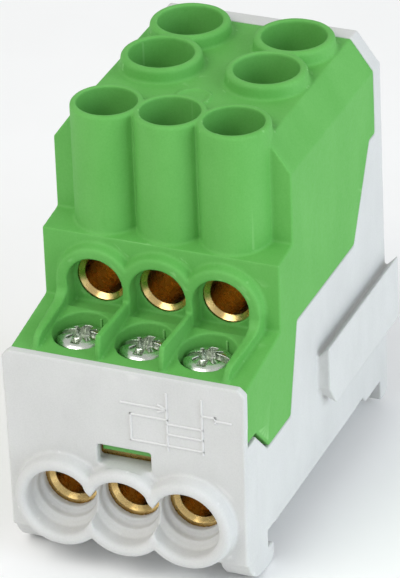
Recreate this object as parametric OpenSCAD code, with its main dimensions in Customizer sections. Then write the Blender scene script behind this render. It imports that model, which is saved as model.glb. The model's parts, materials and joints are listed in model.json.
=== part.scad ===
// Stepped distribution terminal block for a 35 mm top-hat rail, one pole.
// Frame: X across the block (along the rail), Y from the front (-) to the back (+), Z up.
// Origin: middle of the seat that rests on the rail. Units: millimetres.

/* [Conductor ways] */
// Spacing of the three front conductor ways
pitch = 8.7; // [8.6:0.05:8.8]
// Radius of a front conductor bore in the brass
front_bore_r = 2.82; // [2.7:0.01:2.9]
// Radius of a rear conductor bore in the brass
rear_bore_r = 4.25; // [4.1:0.05:4.3]
// Half the spacing of the two rear conductor ways
rear_half_pitch = 7.3; // [7.2:0.05:7.4]

/* [Housing] */
// Half width of the block over its side walls
side_half = 16.3; // [16.2:0.05:16.4]
// Half width of the front plate at its top edge
plate_half = 16.65; // [16.55:0.05:16.7]
// Thickness of the side walls
wall = 1.7; // [1.6:0.05:1.8]
// Height of the flat green top
top_z = 50.85; // [50.5:0.05:51]
// Height of the driver tube rims
rim_z = 52.8; // [52.5:0.05:53]

/* [Rail] */
// Depth of the hook groove below the seat
groove_h = 2.4; // [2.2:0.1:2.6]

/* [Screws] */
// Radius of the front screw heads
head_r = 3.25; // [3.1:0.05:3.3]
// Radius of the rear screw heads
rear_head_r = 3.9; // [3.7:0.05:3.95]
// Radial clearance between a screw shank and its tapped hole
thread_gap = 0.05; // [0.03:0.01:0.08]

/* [Hidden] */
$fn = 64;

// Front plate and entry tubes
plate_y = -24.9;
plate_t = 1.2;
plate_top = 25.2;
plate_low = -1.0;
tube_y = -27.3;
tube_z = 4.9;
tube_r = 6.3;
tube_mouth_r = 4.7;
tube_neck_r = 4.2;
tube_throat_r = 3.75;
low_bore_z = 6.0;
window = [7.4, 2.9];
window_mid = [-0.17, 12.15];

// Brass body
brass_half = 13.2;
low_face_y = -22.04;
high_face_y = -9.71;
rear_face_y = 22.6;
brass_low_top = 17.1;
brass_top = 35.0;
high_bore_z = 29.14;
rear_bore_z = 26.8;
front_bore_depth = 11.3;
rear_bore_depth = 18.6;
clamp_split_y = 2.8;

// Screw axes, by their distance from the rail's middle
low_screw_y = -17.25;
high_screw_y = -6.0;
rear_screw_y = [8.8, 18.66];
m5_r = 2.5;
m6_r = 3.0;
head_h = 2.5;
rear_head_h = 3.0;

// Green cover
step_front = [-23.6, 24.3];
step_rear = [-11.2, 26.2];
ledge_front = [-11.2, 35.85];
ledge_rear = [-6.3, 36.45];
chamfer_x = 13.2;
chamfer_z = 46.5;
well_r = 3.8;
driver_r = 3.94;
driver_outer_r = 4.78;
rear_driver_r = 4.3;
rear_rim_r = 5.35;
hood_z = 29.19;
hood_front_y = -12.71;
hood_r = 5.45;
hood_bore_r = 3.89;
hood_floor_z = 25.42;
hood_half = 3.8;
fin_t = 0.75;
flange_x = 12.62;
fin_top = 27.75;

// Rear wall, hooks and latch
rear_y = 27.1;
rear_inner_y = 24.0;
entry_r = 5.4;
groove_y = -17.42;
hook_w = 4.0;
latch_w = 11.6;
latch_y = 19.1;
latch_t = 1.7;
latch_pivot_z = 9.0;
latch_root_r = 1.3;

// Interlock between neighbouring blocks
lock_mid_z = 12.7;
lock_root_h = 2.9;
lock_tip_h = 4.85;
lock_out = 1.8;
lock_start_y = 1.0;
lock_gap = 0.15;

way_x = [-pitch, 0, pitch];
eps = 0.02;

// Solid with a side outline [y, z], centred on x, w wide
module side_slab(w, x = 0)
    translate([x, 0, 0]) rotate([90, 0, 90])
        translate([0, 0, -w / 2]) linear_extrude(w) children();

// Solid with a front outline [x, z], from y0 back to y1
module front_slab(y0, y1)
    translate([0, y1, 0]) rotate([90, 0, 0]) linear_extrude(y1 - y0) children();

// Round bar along Y from y0 to y1, which may taper
module bar_y(r0, r1, y0, y1, x, z)
    translate([x, y0, z]) rotate([-90, 0, 0]) cylinder(r1 = r0, r2 = r1, h = y1 - y0);

// Tube or hole along Z
module bar_z(r, z0, z1, x, y) translate([x, y, z0]) cylinder(r = r, h = z1 - z0);

// Body envelope seen from the front: straight sides, sloped top corners
module corner_outline(half, top, drop)
    polygon([[-half, -20], [half, -20], [half, chamfer_z - drop], [chamfer_x - drop / 2, top],
        [-chamfer_x + drop / 2, top], [-half, chamfer_z - drop]]);

// ---- White base housing ----

module base_side_outline()
    polygon([[plate_y + 0.3, plate_low], [plate_y + 0.3, plate_top - 0.4],
        [plate_y + plate_t, plate_top - 0.4], [plate_y + plate_t, 16.2], [-20.7, 16.2], [-16.7, 12.2],
        [-8.4, 12.2], [-5.3, 24.75], [15.5, 24.75], [21.9, 37.15], [rear_inner_y, 37.15],
        [rear_inner_y - 0.3, top_z], [rear_y - 0.9, top_z], [rear_y, 6], [rear_y, plate_low],
        [18.6, plate_low], [17.6, 0.15], [15.2, 0.15], [15.2, 0], [-15.2, 0], [-15.2, 0.15],
        [groove_y, 0.15], [groove_y, plate_low]]);

module front_foot_outline()
    polygon([[plate_y + 0.5, plate_low], [-23.7, -2.4], [-22.6, -3.7], [-21.2, -4.6], [-18.2, -5.1],
        [-16.5, -5.1], [-15.8, -4.7], [-15.5, -3.9], [-15.5, -2.9], [-15.8, -groove_h],
        [groove_y, -groove_h], [groove_y, plate_low], [groove_y, 1], [plate_y + 0.5, 1]]);

module rear_foot_outline()
    polygon([[24.4, 1], [24.4, -4.0], [26.3, -4.0], [rear_y, -3.2], [rear_y, 1]]);

// Hollow inside the base, open to the top
module base_hollow_outline()
    polygon([[low_face_y - 0.1, 1.2], [low_face_y - 0.1, 60], [rear_inner_y - 0.3, 60],
        [rear_inner_y - 0.3, 1.2]]);

module front_plate()
    front_slab(plate_y, plate_y + plate_t)
        polygon([[-plate_half + 0.45, plate_low], [plate_half - 0.45, plate_low],
            [plate_half, plate_top - 0.9], [plate_half - 0.9, plate_top],
            [-plate_half + 0.9, plate_top], [-plate_half, plate_top - 0.9]]);

// Slab at each front corner that stands a little proud of the side wall
module corner_slabs()
    for (s = [-1, 1])
        side_slab(1, s * (side_half - 0.35))
            polygon([[plate_y + 0.2, plate_low], [-20.9, plate_low], [-20.9, 16.2],
                [plate_y + 0.2, 16.2]]);

// Dovetail outline [x, z] of the interlock, grown by gap
module lock_outline(gap)
    polygon([[-0.6, lock_mid_z + lock_root_h + gap - 0.4], [0, lock_mid_z + lock_root_h + gap],
        [lock_out + gap, lock_mid_z + lock_tip_h + gap],
        [lock_out + gap, lock_mid_z - lock_tip_h - gap],
        [0, lock_mid_z - lock_root_h - gap], [-0.6, lock_mid_z - lock_root_h - gap + 0.4]]);

// Interlock rail with its front end cut to a blunt wedge
module lock_rail()
    difference() {
        translate([side_half, 0, 0]) front_slab(lock_start_y, rear_y) lock_outline(0);
        translate([side_half, lock_start_y, lock_mid_z - 1.5]) rotate([35, 0, 0])
            translate([-2, -6, -12]) cube([8, 6, 12]);
        translate([side_half, lock_start_y, 0]) rotate([0, 0, -42]) translate([-1, -6, 0]) cube([8, 6, 30]);
    }

// Points of a quarter round from angle a0 to a1, centred on c
function arc(c, r, a0, a1, n = 6) =
    [for (i = [0:n]) c + r * [cos(a0 + (a1 - a0) * i / n), sin(a0 + (a1 - a0) * i / n)]];

// Ring with a rounded rim, [radius, height] outline from z = 0 up to the rim at z = h
module rimmed_ring(r_in, r_base, r_rim, h, round_in, round_out)
    rotate_extrude()
        polygon(concat([[r_in - 0.5, 0], [r_base, 0]],
            arc([r_rim - round_out, h - round_out], round_out, 0, 90),
            arc([r_in + round_in - eps, h - round_in], round_in, 90, 180, 4),
            [[r_in - 0.5, h - round_in - 0.3]]));

module entry_tubes()
    for (x = way_x)
        translate([x, low_face_y - 0.1, tube_z]) rotate([90, 0, 0])
            rimmed_ring(tube_mouth_r, tube_r + 0.25, tube_r, low_face_y - 0.1 - tube_y, 0.7, 0.8);

// Stepped funnel: mouth, neck and throat, each a little higher than the one before
module entry_funnels()
    for (x = way_x) {
        bar_y(tube_mouth_r, tube_mouth_r - 0.1, tube_y - 1, plate_y + 0.1, x, tube_z);
        bar_y(tube_mouth_r - 0.1, tube_neck_r, plate_y + 0.1 - eps, plate_y + 0.6, x, tube_z + 0.25);
        bar_y(tube_neck_r, tube_neck_r - 0.05, plate_y + 0.6 - eps, plate_y + 1.7, x, tube_z + 0.55);
        bar_y(tube_throat_r, tube_throat_r, plate_y + 1.6, low_face_y + 1, x, low_bore_z - 0.05);
    }

module rear_entries()
    for (x = [-rear_half_pitch, rear_half_pitch]) {
        bar_y(entry_r, entry_r, rear_face_y - 1, rear_y + 1, x, rear_bore_z);
        bar_y(entry_r, entry_r + 1, rear_y - 1.2, rear_y + 0.1, x, rear_bore_z);
    }

// Rear lip inside the base that backs the brass body, and pads under it
module brass_supports() {
    for (x = [-10, 10]) translate([x - 1, -4.4, 1]) cube([2, 27, 19.5]);
    translate([-side_half + 1, -4.4, 5]) cube([2.6, 28, 15.4]);
}

module base_housing()
    color([0.85, 0.87, 0.88])
    difference() {
        union() {
            difference() {
                intersection() {
                    side_slab(2 * side_half) base_side_outline();
                    front_slab(-30, 30) corner_outline(side_half, top_z, 0);
                }
                side_slab(2 * (side_half - wall)) base_hollow_outline();
                // Room for the cover behind the thin upper part of the plate
                translate([-side_half - 1, plate_y + plate_t, 16.4])
                    cube([2 * side_half + 2, 3, 10]);
            }
            front_plate();
            corner_slabs();
            entry_tubes();
            for (s = [-1, 1]) {
                side_slab(hook_w, s * (side_half - hook_w / 2)) front_foot_outline();
                side_slab(hook_w + 1, s * (side_half - hook_w / 2 - 0.5)) rear_foot_outline();
            }
            lock_rail();
            brass_supports();
        }
        entry_funnels();
        rear_entries();
        // Window for the cover's snap tongue
        translate([window_mid[0] - window[0] / 2, plate_y - 1, window_mid[1] - window[1] / 2])
            cube([window[0], 5, window[1]]);
        // Pocket behind the window for the snap tongue
        translate([-4.4, plate_y + plate_t, window_mid[1] - window[1] / 2]) cube([8.8, 3, 12]);
        // Female side of the interlock, open at the back
        translate([-side_half, 0, 0])
            front_slab(lock_start_y - 0.6, rear_y + 1) lock_outline(lock_gap);
        // Slot in the floor for the rail latch
        translate([-latch_w / 2 - 0.4, latch_y - 0.5, -6]) cube([latch_w + 0.8, 4.6, 15]);
        rotate([90, 0, 90]) translate([latch_y + latch_t / 2, latch_pivot_z, -latch_w / 2 - 0.4])
            cylinder(r = latch_root_r + 0.05, h = latch_w + 0.8);
    }

// ---- Green top cover ----

module cover_side_outline()
    polygon([[-23.6, 16.6], step_front, step_rear, ledge_front, ledge_rear,
        [ledge_rear[0], top_z], [rear_inner_y - 0.4, top_z], [rear_inner_y - 0.1, 37.25],
        [21.8, 37.25], [15.4, 24.85], [-5.4, 24.85], [-8.5, 12.35], [-16.2, 12.35], [-20.4, 16.6]]);

module cover_hollow_outline()
    polygon([[-22.2, 0], [-22.2, 22.7], [-12.6, 24.5], [high_face_y - 0.05, 24.5],
        [high_face_y - 0.05, 34.1], [-8.8, brass_top + 0.1], [-4.9, brass_top + 0.1],
        [-4.9, top_z - 1.6], [22.2, top_z - 1.6], [22.2, 0]]);

// One hood around an upper conductor way, with a drafted outside and a rounded front edge
module hood(x)
    translate([x, step_rear[0] + 0.3, hood_z]) rotate([90, 0, 0])
        rimmed_ring(hood_bore_r, hood_r + 0.3, hood_r, step_rear[0] + 0.3 - hood_front_y, 0.2, 0.5);

// Thin wall between two screw wells
module fin(x)
    side_slab(fin_t, x)
        polygon([[-11, fin_top - 0.1], [-21.9, fin_top], [-22.7, 24.4], [-11, 24.8]]);

// Outer wall that carries an end hood's leg down to the step
module flange(s)
    intersection() {
        side_slab(2, s * (flange_x + 1))
            polygon([[-11, hood_z], [hood_front_y + 0.05, hood_z], [hood_front_y + 0.02, 28.3],
                [-12.95, 27.65], [-13.5, 27.2], [-14.5, 26.9], [-20.6, 26.35], [-21.5, 25.95],
                [-22.8, 24.3], [-11, 24.3]]);
        // Outer face drawn in towards the front
        linear_extrude(60)
            polygon([[0, 0], [s * 14.1, 0], [s * 14.1, hood_front_y], [s * 13.45, -22.9], [0, -22.9]]);
    }

module driver_tubes() {
    for (x = way_x)
        translate([x, high_screw_y, brass_top + 0.1])
            rimmed_ring(driver_r, driver_outer_r, driver_outer_r, rim_z - brass_top - 0.1, 0.15, 0.45);
    for (s = [-1, 1], y = rear_screw_y) {
        bar_z(rear_driver_r + 0.6, brass_top + 0.1, top_z, s * rear_half_pitch, y);
        translate([s * rear_half_pitch, y, top_z - 1])
            rimmed_ring(rear_driver_r, rear_rim_r + 0.25, rear_rim_r, rim_z - top_z + 1, 0.25, 0.6);
    }
}

module snap_tongue()
    difference() {
        translate([-3.7, -23.6, 12.2]) cube([7.2, 1.35, 8]);
        translate([-4, -22.1, 11]) rotate([-25, 0, 0]) cube([8, 2, 3]);
    }

// Ring mark on the top, in place of the pole symbol
module pole_ring()
    translate([0, 1.6, top_z - eps])
        linear_extrude(0.3) difference() {
            circle(r = 2.35);
            circle(r = 1.95);
        }

module top_cover()
    color([0.36, 0.72, 0.36])
    difference() {
        union() {
            difference() {
                intersection() {
                    side_slab(2 * side_half) cover_side_outline();
                    front_slab(-30, 30) corner_outline(side_half, top_z, 0);
                }
                intersection() {
                    side_slab(2 * (side_half - wall + 0.1)) cover_hollow_outline();
                    front_slab(-40, 40) corner_outline(side_half - wall + 0.1, top_z - 1.6, 1.2);
                }
            }
            intersection() {
                driver_tubes();
                translate([-20, -12, 30]) cube([40, 35.6, 30]);
            }
            for (x = way_x) {
                hood(x);
                intersection() {
                    bar_z(well_r + 0.9, brass_low_top + 0.1, 27, x, low_screw_y);
                    side_slab(40) cover_side_outline();
                }
            }
            for (x = [-pitch / 2, pitch / 2]) fin(x);
            for (s = [-1, 1]) flange(s);
            snap_tongue();
            pole_ring();
        }
        for (x = way_x) {
            // Hood: a round arch over a flat floor, and the opening in front of the brass mouth
            intersection() {
                bar_y(hood_bore_r, hood_bore_r, hood_front_y - 1, high_face_y - 0.5, x, hood_z);
                translate([x - 5, hood_front_y - 2, hood_z - 1]) cube([10, 6, 10]);
            }
            translate([x - hood_half, hood_front_y - 0.25, hood_floor_z])
                cube([2 * hood_half, high_face_y - 0.5 - hood_front_y + 0.25, hood_z - hood_floor_z]);
            bar_y(front_bore_r + 0.62, front_bore_r + 0.62, high_face_y - 1, high_face_y + 1, x, high_bore_z);
            bar_z(driver_r, brass_top - 1, rim_z + 1, x, high_screw_y);
            bar_z(well_r, brass_low_top - 1, 40, x, low_screw_y);
        }
        for (s = [-1, 1], y = rear_screw_y)
            bar_z(rear_driver_r, brass_top - 1, rim_z + 1, s * rear_half_pitch, y);
    }

// ---- Brass clamp body ----

// The brass is one stepped bar. It is drawn as eight blocks, one to each way, that meet face to face.
module clamp_block(x0, x1)
    color([0.78, 0.62, 0.28])
    side_slab(x1 - x0, (x0 + x1) / 2) children();

module clamp_low_outline()
    polygon([[low_face_y, 1.4], [-5.5, 1.4], [-5.5, 20.6], [high_face_y, 20.6],
        [high_face_y, brass_low_top], [low_face_y, brass_low_top]]);

module clamp_high_outline()
    polygon([[high_face_y, 20.6], [clamp_split_y, 20.6], [clamp_split_y, brass_top],
        [-8.8, brass_top], [high_face_y, 34.1]]);

module clamp_rear_outline()
    polygon([[clamp_split_y, 20.6], [rear_face_y, 20.6], [rear_face_y, brass_top],
        [clamp_split_y, brass_top]]);

// Conductor bore with a countersunk mouth; dir is 1 from the front, -1 from the back
module conductor_bore(x, face_y, z, r, depth, dir)
    translate([x, face_y, z]) rotate([-90 * dir, 0, 0]) {
        translate([0, 0, -1]) cylinder(r = r, h = depth + 1);
        translate([0, 0, -eps]) cylinder(r1 = r + 0.59 + eps, r2 = r, h = 0.59 + eps);
    }

// Limits across the block of the three front blocks
front_x = [-brass_half, -pitch / 2, pitch / 2, brass_half];

module clamp_low(i)
    difference() {
        clamp_block(front_x[i], front_x[i + 1]) clamp_low_outline();
        conductor_bore(way_x[i], low_face_y, low_bore_z, front_bore_r, front_bore_depth, 1);
        bar_z(m5_r + thread_gap, low_bore_z, brass_low_top + 1, way_x[i], low_screw_y);
    }

module clamp_high(i)
    difference() {
        clamp_block(front_x[i], front_x[i + 1]) clamp_high_outline();
        conductor_bore(way_x[i], high_face_y, high_bore_z, front_bore_r, front_bore_depth, 1);
        bar_z(m5_r + thread_gap, high_bore_z, brass_top + 1, way_x[i], high_screw_y);
    }

module clamp_rear(s)
    difference() {
        clamp_block(min(0, s * brass_half), max(0, s * brass_half)) clamp_rear_outline();
        conductor_bore(s * rear_half_pitch, rear_face_y, rear_bore_z, rear_bore_r, rear_bore_depth, -1);
        for (y = rear_screw_y)
            bar_z(m6_r + thread_gap, rear_bore_z, brass_top + 1, s * rear_half_pitch, y);
    }

// ---- Rail latch ----

module latch_outline()
    polygon([[latch_y, latch_pivot_z], [latch_y, -1.5], [17.0, -1.5], [16.4, -2.1], [18.0, -4.6],
        [latch_y + latch_t, -4.6], [latch_y + latch_t + 2.2, -4.6], [latch_y + latch_t + 2.2, -3.2],
        [latch_y + latch_t, -2.6], [latch_y + latch_t, latch_pivot_z]]);

module rail_latch()
    color([0.83, 0.85, 0.86])
    union() {
        side_slab(latch_w) latch_outline();
        rotate([90, 0, 90]) translate([latch_y + latch_t / 2, latch_pivot_z, -latch_w / 2])
            cylinder(r = latch_root_r, h = latch_w);
    }

// ---- Clamping screws ----

// Head profile [radius, height] above the shank: straight skirt, domed top
function dome(r, skirt, h) =
    [for (i = [0:6]) [r * cos(15 * i), skirt + (h - skirt) * sin(15 * i)]];

// Screw with a domed head and a combined slot and cross recess, tip at z = tip
module clamp_screw(x, y, tip, shank_r, shank_l, r, h)
    color([0.72, 0.75, 0.73])
    translate([x, y, tip])
    difference() {
        rotate_extrude($fn = 72)
            polygon(concat([[0, 0], [shank_r - 0.8, 0], [shank_r, 0.9], [shank_r, shank_l]],
                [[r - 0.15, shank_l], [r, shank_l + 0.2]],
                dome(r, shank_l + h * 0.55, shank_l + h)));
        translate([0, 0, shank_l + h - 0.4]) {
            cube([2 * r + 1, 1.15, 2.2], center = true);
            cube([1.15, 1.45 * r, 3.0], center = true);
            for (a = [45, 135]) rotate([0, 0, a]) cube([0.5, 1.3 * r, 1.9], center = true);
        }
    }

low_tip = low_bore_z + front_bore_r + 0.25;
high_tip = high_bore_z + front_bore_r + 0.25;
rear_tip = rear_bore_z + rear_bore_r + 0.25;

module low_screw(i) clamp_screw(way_x[i], low_screw_y, low_tip, m5_r, 13.45, head_r, head_h);
module high_screw(i) clamp_screw(way_x[i], high_screw_y, high_tip, m5_r, 9.4, head_r, head_h);
module rear_screw(s, j)
    clamp_screw(s * rear_half_pitch, rear_screw_y[j], rear_tip, m6_r, 13, rear_head_r, rear_head_h);

base_housing();
top_cover();
clamp_low(0);  // clamp_low_1
clamp_low(1);  // clamp_low_2
clamp_low(2);  // clamp_low_3
clamp_high(0);  // clamp_high_1
clamp_high(1);  // clamp_high_2
clamp_high(2);  // clamp_high_3
clamp_rear(-1);  // clamp_rear_1
clamp_rear(1);  // clamp_rear_2
rail_latch();
low_screw(0);  // low_screw_1
low_screw(1);  // low_screw_2
low_screw(2);  // low_screw_3
high_screw(0);  // high_screw_1
high_screw(1);  // high_screw_2
high_screw(2);  // high_screw_3
rear_screw(-1, 0);  // rear_screw_1
rear_screw(1, 0);  // rear_screw_2
rear_screw(-1, 1);  // rear_screw_3
rear_screw(1, 1);  // rear_screw_4
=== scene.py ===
"""Looks of the stepped rail terminal block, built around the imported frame. Metres, +Z up."""
import json
import math

import bmesh
import bpy
import numpy as np
from mathutils import Matrix, Vector


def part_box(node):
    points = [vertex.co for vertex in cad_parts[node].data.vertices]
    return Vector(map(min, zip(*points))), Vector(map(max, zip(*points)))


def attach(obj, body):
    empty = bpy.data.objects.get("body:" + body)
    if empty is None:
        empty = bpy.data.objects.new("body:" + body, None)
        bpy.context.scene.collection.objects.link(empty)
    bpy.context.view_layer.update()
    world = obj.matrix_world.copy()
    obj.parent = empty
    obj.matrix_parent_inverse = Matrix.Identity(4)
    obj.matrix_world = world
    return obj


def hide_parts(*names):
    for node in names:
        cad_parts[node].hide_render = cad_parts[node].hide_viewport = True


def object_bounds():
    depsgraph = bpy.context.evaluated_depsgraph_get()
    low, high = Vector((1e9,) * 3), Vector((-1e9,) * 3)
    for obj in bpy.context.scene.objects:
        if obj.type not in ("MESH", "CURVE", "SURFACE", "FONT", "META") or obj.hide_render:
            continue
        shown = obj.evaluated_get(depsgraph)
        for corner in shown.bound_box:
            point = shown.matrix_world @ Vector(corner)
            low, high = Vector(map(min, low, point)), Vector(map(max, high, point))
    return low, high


MM = 0.001
PLATE_Y = -24.9                 # front plate's face, in mm
RING_Y = 1.6                    # middle of the ring mark on the top face, in mm
RIB_FOOT_Z, RIB_TOP_Z = 19.5, 25.2
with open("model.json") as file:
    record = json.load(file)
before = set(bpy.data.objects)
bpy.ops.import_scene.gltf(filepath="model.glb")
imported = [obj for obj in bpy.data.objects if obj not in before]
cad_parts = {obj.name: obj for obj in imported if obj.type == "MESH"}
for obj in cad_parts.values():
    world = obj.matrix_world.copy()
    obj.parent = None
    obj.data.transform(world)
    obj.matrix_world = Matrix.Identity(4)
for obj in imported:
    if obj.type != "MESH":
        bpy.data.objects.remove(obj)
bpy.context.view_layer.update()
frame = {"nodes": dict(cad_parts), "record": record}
nodes = frame["nodes"]


# ---- Camera and light ----

def make_camera():
    data = bpy.data.cameras.new("camera")
    cam = bpy.data.objects.new("camera", data)
    bpy.context.scene.collection.objects.link(cam)
    az, el, roll = (math.radians(a) for a in (23.13, 29.61, -2.197))
    back = Vector((math.sin(az) * math.cos(el), -math.cos(az) * math.cos(el), math.sin(el)))
    cam.location = Vector((3.159, -5.993, 27.39)) * MM + back * 0.6222
    cam.rotation_mode = "QUATERNION"
    cam.rotation_quaternion = (-back).to_track_quat("-Z", "Y")
    cam.rotation_quaternion = cam.rotation_quaternion @ Matrix.Rotation(roll, 3, "Z").to_quaternion()
    data.lens = 301.3
    data.sensor_width = 36
    data.clip_start, data.clip_end = 0.01, 10
    bpy.context.scene.camera = cam


def area_light(name, spot, energy, size, color=(1, 1, 1)):
    data = bpy.data.lights.new(name, "AREA")
    data.energy, data.size, data.color = energy, size, color
    lamp = bpy.data.objects.new(name, data)
    lamp.location = spot
    lamp.rotation_mode = "QUATERNION"
    lamp.rotation_quaternion = (Vector((0, 0, 0.025)) - Vector(spot)).to_track_quat("-Z", "Y")
    bpy.context.scene.collection.objects.link(lamp)


# ---- Materials ----

class Shader:
    """A node tree with short calls for the patterns that the materials share."""

    def __init__(self, name, color, rough, metal=0.0):
        self.mat = bpy.data.materials.new(name)
        self.mat.use_nodes = True
        self.tree = self.mat.node_tree
        self.bsdf = self.tree.nodes["Principled BSDF"]
        self.bsdf.inputs["Base Color"].default_value = (*color, 1)
        self.bsdf.inputs["Roughness"].default_value = rough
        self.bsdf.inputs["Metallic"].default_value = metal
        self.place = self.node("ShaderNodeTexCoord").outputs["Object"]

    def node(self, kind, **values):
        made = self.tree.nodes.new(kind)
        for key, value in values.items():
            if hasattr(made, key):
                setattr(made, key, value)
            else:
                made.inputs[key.replace("_", " ")].default_value = value
        return made

    def link(self, a, b):
        self.tree.links.new(a, b)

    def noise(self, size_mm, detail=3.0, rough=0.55, squash=(1, 1, 1)):
        scaled = self.node("ShaderNodeVectorMath", operation="MULTIPLY")
        self.link(self.place, scaled.inputs[0])
        scaled.inputs[1].default_value = squash
        made = self.node("ShaderNodeTexNoise", Scale=1 / (size_mm * MM), Detail=detail, Roughness=rough)
        self.link(scaled.outputs[0], made.inputs["Vector"])
        return made.outputs["Fac"]

    def ramp(self, fac, low, high, stops=(0.3, 0.7)):
        made = self.node("ShaderNodeValToRGB")
        made.color_ramp.elements[0].position, made.color_ramp.elements[1].position = stops
        made.color_ramp.elements[0].color = (*low, 1)
        made.color_ramp.elements[1].color = (*high, 1)
        self.link(fac, made.inputs["Fac"])
        return made.outputs["Color"]

    def span(self, fac, low, high):
        made = self.node("ShaderNodeMapRange")
        made.inputs["From Min"].default_value, made.inputs["From Max"].default_value = 0.25, 0.75
        made.inputs["To Min"].default_value, made.inputs["To Max"].default_value = low, high
        self.link(fac, made.inputs["Value"])
        return made.outputs["Result"]

    def mix(self, fac, a, b):
        made = self.node("ShaderNodeMix", data_type="RGBA")
        if isinstance(fac, float):
            made.inputs[0].default_value = fac
        else:
            self.link(fac, made.inputs[0])
        self.link(a, made.inputs[6])
        if isinstance(b, tuple):
            made.inputs[7].default_value = (*b, 1)
        else:
            self.link(b, made.inputs[7])
        return made.outputs[2]

    def bump(self, fac, height_mm, strength=1.0, after=None):
        made = self.node("ShaderNodeBump", Strength=strength, Distance=height_mm * MM)
        self.link(fac, made.inputs["Height"])
        if after is not None:
            self.link(after, made.inputs["Normal"])
        return made.outputs["Normal"]


def painted_edge_highlight(sh, color, edge_highlight_color):
    """Painted highlight: outer edges lightened in colour, from the mesh's own curvature."""
    point = sh.node("ShaderNodeNewGeometry").outputs["Pointiness"]
    made = sh.node("ShaderNodeMapRange")
    made.inputs["From Min"].default_value, made.inputs["From Max"].default_value = 0.55, 0.70
    sh.link(point, made.inputs["Value"])
    return sh.mix(made.outputs["Result"], color, edge_highlight_color)


def plastic(name, dark, light, edge_highlight_color, rough):
    """Spark-eroded moulded plastic: fine grain, faint clouding from the melt, and outer edges painted
    paler as a highlight.
    """
    sh = Shader(name, light, 0.5)
    cloud = sh.ramp(sh.noise(7, 4, 0.6, (1, 1, 0.5)), dark, light)
    speck = sh.ramp(sh.noise(0.22, 2, 0.6), tuple(c * 0.93 for c in dark), light, (0.2, 0.62))
    color = sh.mix(0.35, cloud, speck)
    # Outer edges get a painted highlight colour.
    sh.link(painted_edge_highlight(sh, color, edge_highlight_color), sh.bsdf.inputs["Base Color"])
    sh.link(sh.span(sh.noise(0.5, 4), rough - 0.07, rough + 0.09), sh.bsdf.inputs["Roughness"])
    fine = sh.bump(sh.noise(0.16, 2, 0.5), 0.022, 0.6)
    sh.link(sh.bump(sh.noise(2.6, 2, 0.4), 0.03, 0.35, fine), sh.bsdf.inputs["Normal"])
    sh.bsdf.inputs["IOR"].default_value = 1.5
    sh.bsdf.inputs["Specular IOR Level"].default_value = 0.3
    sh.bsdf.inputs["Subsurface Weight"].default_value = 0.08
    sh.bsdf.inputs["Subsurface Radius"].default_value = (0.6 * MM, 0.8 * MM, 0.5 * MM)
    sh.bsdf.inputs["Subsurface Scale"].default_value = 0.8
    return sh.mat


def metal(name, dark, light, rough, mark_mm, mark_height):
    """Turned metal: fine tool marks, smears of a warmer or cooler tone and uneven gloss."""
    sh = Shader(name, light, rough, 1.0)
    sh.link(sh.ramp(sh.noise(1.6, 5, 0.65), dark, light), sh.bsdf.inputs["Base Color"])
    sh.link(sh.span(sh.noise(0.8, 4), rough - 0.08, rough + 0.14), sh.bsdf.inputs["Roughness"])
    marks = sh.noise(mark_mm, 2, 0.5, (0.04, 1.0, 0.04))
    sh.link(sh.bump(marks, mark_height, 0.7), sh.bsdf.inputs["Normal"])
    return sh.mat


# The third colour of each plastic is the painted highlight on its outer edges.
WHITE = plastic("white_moulding", (0.565, 0.570, 0.560), (0.650, 0.655, 0.645), (0.72, 0.72, 0.71), 0.64)
GREEN = plastic("green_moulding", (0.100, 0.370, 0.066), (0.138, 0.435, 0.098), (0.20, 0.50, 0.15), 0.64)
BRASS = metal("turned_brass", (0.74, 0.51, 0.20), (0.84, 0.62, 0.27), 0.24, 0.3, 0.006)
ZINC = metal("zinc_plate", (0.60, 0.65, 0.58), (0.76, 0.79, 0.73), 0.24, 0.5, 0.002)
FINISH = {"white_plastic": WHITE, "green_plastic": GREEN, "brass": BRASS, "zinc_plated_steel": ZINC}
SLOT = {sub["node"]: sub["material_slot"] for sub in frame["record"]["subparts"]}
BODY = {n: b for b, members in frame["record"]["behaviour"]["bodies"].items() for n in members}


# ---- Pieces ----

def add_piece(name, mesh, node, replaces=True):
    piece = bpy.data.objects.new(name, mesh)
    bpy.context.scene.collection.objects.link(piece)
    mesh.materials.clear()
    mesh.materials.append(FINISH[SLOT[node]])
    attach(piece, BODY[node])
    if replaces:
        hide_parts(node)
    return piece


def moulded(node, voxel_mm, passes, keep, warp=None):
    """The CAD node's shape with soft, moulded edges and fillets: remeshed, relaxed and thinned."""
    source = bpy.data.meshes.new(node + "_soft")
    bm = bmesh.new()
    bm.from_mesh(nodes[node].data)
    bmesh.ops.remove_doubles(bm, verts=bm.verts, dist=1e-7)
    bm.to_mesh(source)
    bm.free()
    work = bpy.data.objects.new("work", source)
    bpy.context.scene.collection.objects.link(work)
    remesh = work.modifiers.new("remesh", "REMESH")
    remesh.mode, remesh.voxel_size = "VOXEL", voxel_mm * MM
    relax = work.modifiers.new("relax", "SMOOTH")
    relax.factor, relax.iterations = 0.5, passes
    thin = work.modifiers.new("thin", "DECIMATE")
    thin.ratio = keep
    result = bpy.data.meshes.new_from_object(work.evaluated_get(bpy.context.evaluated_depsgraph_get()))
    bpy.data.objects.remove(work)
    if warp:
        warp(result)
    result.shade_smooth()
    result.name = node + "_soft"
    return result


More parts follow.
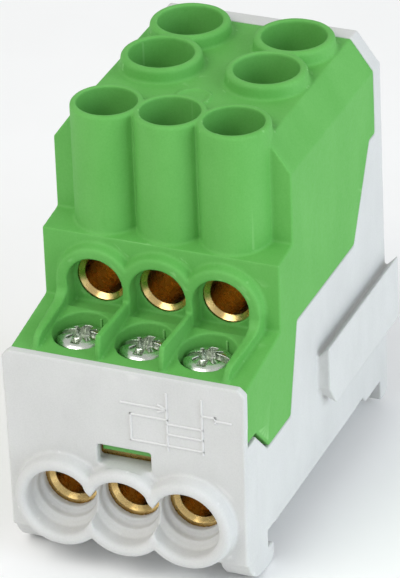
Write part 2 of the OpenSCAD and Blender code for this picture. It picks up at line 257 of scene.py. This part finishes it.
def thread(pitch_mm, depth_mm, shank_r, shank_top):
    """Cuts a helical thread into a screw's shank by moving its points in towards the axis."""
    def warp(mesh):
        co = np.empty(len(mesh.vertices) * 3, np.float32)
        mesh.vertices.foreach_get("co", co)
        co = co.reshape(-1, 3).astype(float)
        mid = (co.min(0) + co.max(0)) / 2
        x, y = co[:, 0] - mid[0], co[:, 1] - mid[1]
        r, z = np.hypot(x, y), co[:, 2] - co[:, 2].min()
        turn = (z / (pitch_mm * MM) - np.arctan2(y, x) / (2 * np.pi)) % 1
        cut = np.abs(2 * turn - 1) * depth_mm * MM
        fade = np.clip((shank_top * MM - z) / (0.6 * MM), 0, 1)
        on_wall = np.clip((r / MM - shank_r + 0.5) / 0.4, 0, 1) * (r < (shank_r + 0.2) * MM)
        shrink = 1 - cut * fade * on_wall / np.maximum(r, 1e-6)
        co[:, 0], co[:, 1] = mid[0] + x * shrink, mid[1] + y * shrink
        mesh.vertices.foreach_set("co", co.astype(np.float32).ravel())
        mesh.update()
    return warp


def steady_normals(piece):
    mod = piece.modifiers.new("normals", "WEIGHTED_NORMAL")
    mod.weight, mod.keep_sharp = 60, False


def ribbon(bm, a, b, width, height, face_y):
    """A raised line on the front plate from a to b, [x, z] in mm, with sloped sides."""
    a, b = np.array(a, float), np.array(b, float)
    along = (b - a) / np.linalg.norm(b - a)
    side = np.array([-along[1], along[0]])
    rings = []
    for inset, out in ((0.0, 0.05), (0.0, -height * 0.55), (0.09, -height)):
        half = width / 2 - inset
        ring = [a - along * half - side * half, b + along * half - side * half,
                b + along * half + side * half, a - along * half + side * half]
        rings.append([bm.verts.new((p[0] * MM, (face_y + out) * MM, p[1] * MM)) for p in ring])
    for low, high in zip(rings, rings[1:]):
        for i in range(4):
            j = (i + 1) % 4
            bm.faces.new((low[i], low[j], high[j], high[i]))
    bm.faces.new(rings[0][::-1])
    bm.faces.new(rings[-1])


def diagram():
    """The strip-length drawing on the front plate: plain lines, no lettering."""
    bm = bmesh.new()
    lines = [((1.0, 15.3), (1.0, 19.1)), ((1.0, 19.1), (6.0, 19.1)), ((1.0, 15.3), (10.8, 15.3)),
             ((6.0, 14.6), (6.0, 22.9)), ((10.8, 14.9), (10.8, 22.8)), ((6.0, 18.5), (10.8, 18.5)),
             ((6.0, 17.0), (10.8, 17.0)), ((-0.2, 20.6), (6.0, 20.6)), ((4.9, 21.1), (6.0, 20.6)),
             ((4.9, 20.1), (6.0, 20.6)), ((10.8, 20.6), (12.6, 20.6)), ((12.6, 20.6), (12.6, 19.9)),
             ((12.6, 20.2), (14.7, 20.2))]
    for a, b in lines:
        ribbon(bm, a, b, 0.3, 0.16, PLATE_Y)
    bmesh.ops.recalc_face_normals(bm, faces=bm.faces)
    mesh = bpy.data.meshes.new("front_diagram")
    bm.to_mesh(mesh)
    bm.free()
    return mesh


def ring_mark():
    """The plain raised ring on the top face, between the driver tubes."""
    bm = bmesh.new()
    profile = [(1.93, 50.8), (1.97, 51.06), (2.04, 51.12), (2.26, 51.12), (2.33, 51.06), (2.37, 50.8)]
    turns = 96
    loops = []
    for k in range(turns):
        a = 2 * math.pi * k / turns
        loops.append([bm.verts.new((r * math.cos(a) * MM, (RING_Y + r * math.sin(a)) * MM, z * MM))
                      for r, z in profile])
    for k in range(turns):
        near, far = loops[k], loops[(k + 1) % turns]
        for i in range(len(profile)):
            j = (i + 1) % len(profile)
            bm.faces.new((near[i], far[i], far[j], near[j]))
    bmesh.ops.recalc_face_normals(bm, faces=bm.faces)
    mesh = bpy.data.meshes.new("ring_mark")
    bm.to_mesh(mesh)
    bm.free()
    return mesh


def well_ribs():
    """A small upright rib in the back wall of each screw well."""
    bm = bmesh.new()
    for i in (1, 2, 3):
        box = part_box(f"low_screw_{i}")
        x = (box[0].x + box[1].x) / 2 / MM + 1.25
        y = (box[0].y + box[1].y) / 2 / MM + 3.55
        base = [(x - 0.22, y + 0.6), (x - 0.12, y - 0.22), (x + 0.12, y - 0.22), (x + 0.22, y + 0.6)]
        tiers = [[bm.verts.new((px * MM, py * MM, z * MM)) for px, py in base]
                 for z in (RIB_FOOT_Z, RIB_TOP_Z)]
        for j in range(4):
            k = (j + 1) % 4
            bm.faces.new((tiers[0][j], tiers[0][k], tiers[1][k], tiers[1][j]))
        bm.faces.new(tiers[0][::-1])
        bm.faces.new(tiers[1])
    bmesh.ops.recalc_face_normals(bm, faces=bm.faces)
    mesh = bpy.data.meshes.new("well_ribs")
    bm.to_mesh(mesh)
    bm.free()
    return mesh


make_camera()
area_light("key", (-0.25, -0.45, 0.65), 2.9, 0.5, (1.0, 0.985, 0.94))
area_light("side", (0.75, -0.15, 0.30), 3.7, 0.55, (0.80, 0.91, 1.0))
area_light("front", (0.10, -0.80, 0.15), 0.12, 0.5, (1.0, 0.98, 0.93))
world = bpy.data.worlds.new("studio")
world.use_nodes = True
world.node_tree.nodes["Background"].inputs["Color"].default_value = (1, 1, 1, 1)
world.node_tree.nodes["Background"].inputs["Strength"].default_value = 0.62
bpy.context.scene.world = world
bpy.context.scene.view_settings.view_transform = "Standard"

coarse = 1.0
for node, voxel, passes, keep in (("base_housing", 0.18, 3, 0.18), ("top_cover", 0.18, 3, 0.18),
                                  ("rail_latch", 0.16, 3, 0.3)):
    steady_normals(add_piece(node + "_moulding", moulded(node, voxel * coarse, passes, keep), node))
THREADS = {"low": (0.8, 0.42, 2.5, 13.2), "high": (0.8, 0.42, 2.5, 9.1), "rear": (1.0, 0.5, 3.0, 12.7)}
for node in sorted(n for n in nodes if "screw" in n):
    turned = moulded(node, 0.08 * coarse, 2, 0.3, thread(*THREADS[node.split("_")[0]]))
    steady_normals(add_piece(node + "_turned", turned, node))
for node in nodes:
    if node.startswith("clamp"):
        nodes[node].data.materials.clear()
        nodes[node].data.materials.append(BRASS)
add_piece("front_diagram", diagram(), "base_housing", replaces=False)
add_piece("well_ribs", well_ribs(), "top_cover", replaces=False)
add_piece("ring_mark", ring_mark(), "top_cover", replaces=False)

# ---- Floor ----

floor_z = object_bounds()[0][2]
bpy.ops.mesh.primitive_plane_add(size=4, location=(0, 0, floor_z))
floor = bpy.context.object
floor.name = "floor"
paper = Shader("floor_paper", (0.93, 0.93, 0.93), 0.85)
paper.link(paper.ramp(paper.noise(40, 3), (0.92, 0.92, 0.92), (0.95, 0.95, 0.95)),
           paper.bsdf.inputs["Base Color"])
floor.data.materials.append(paper.mat)
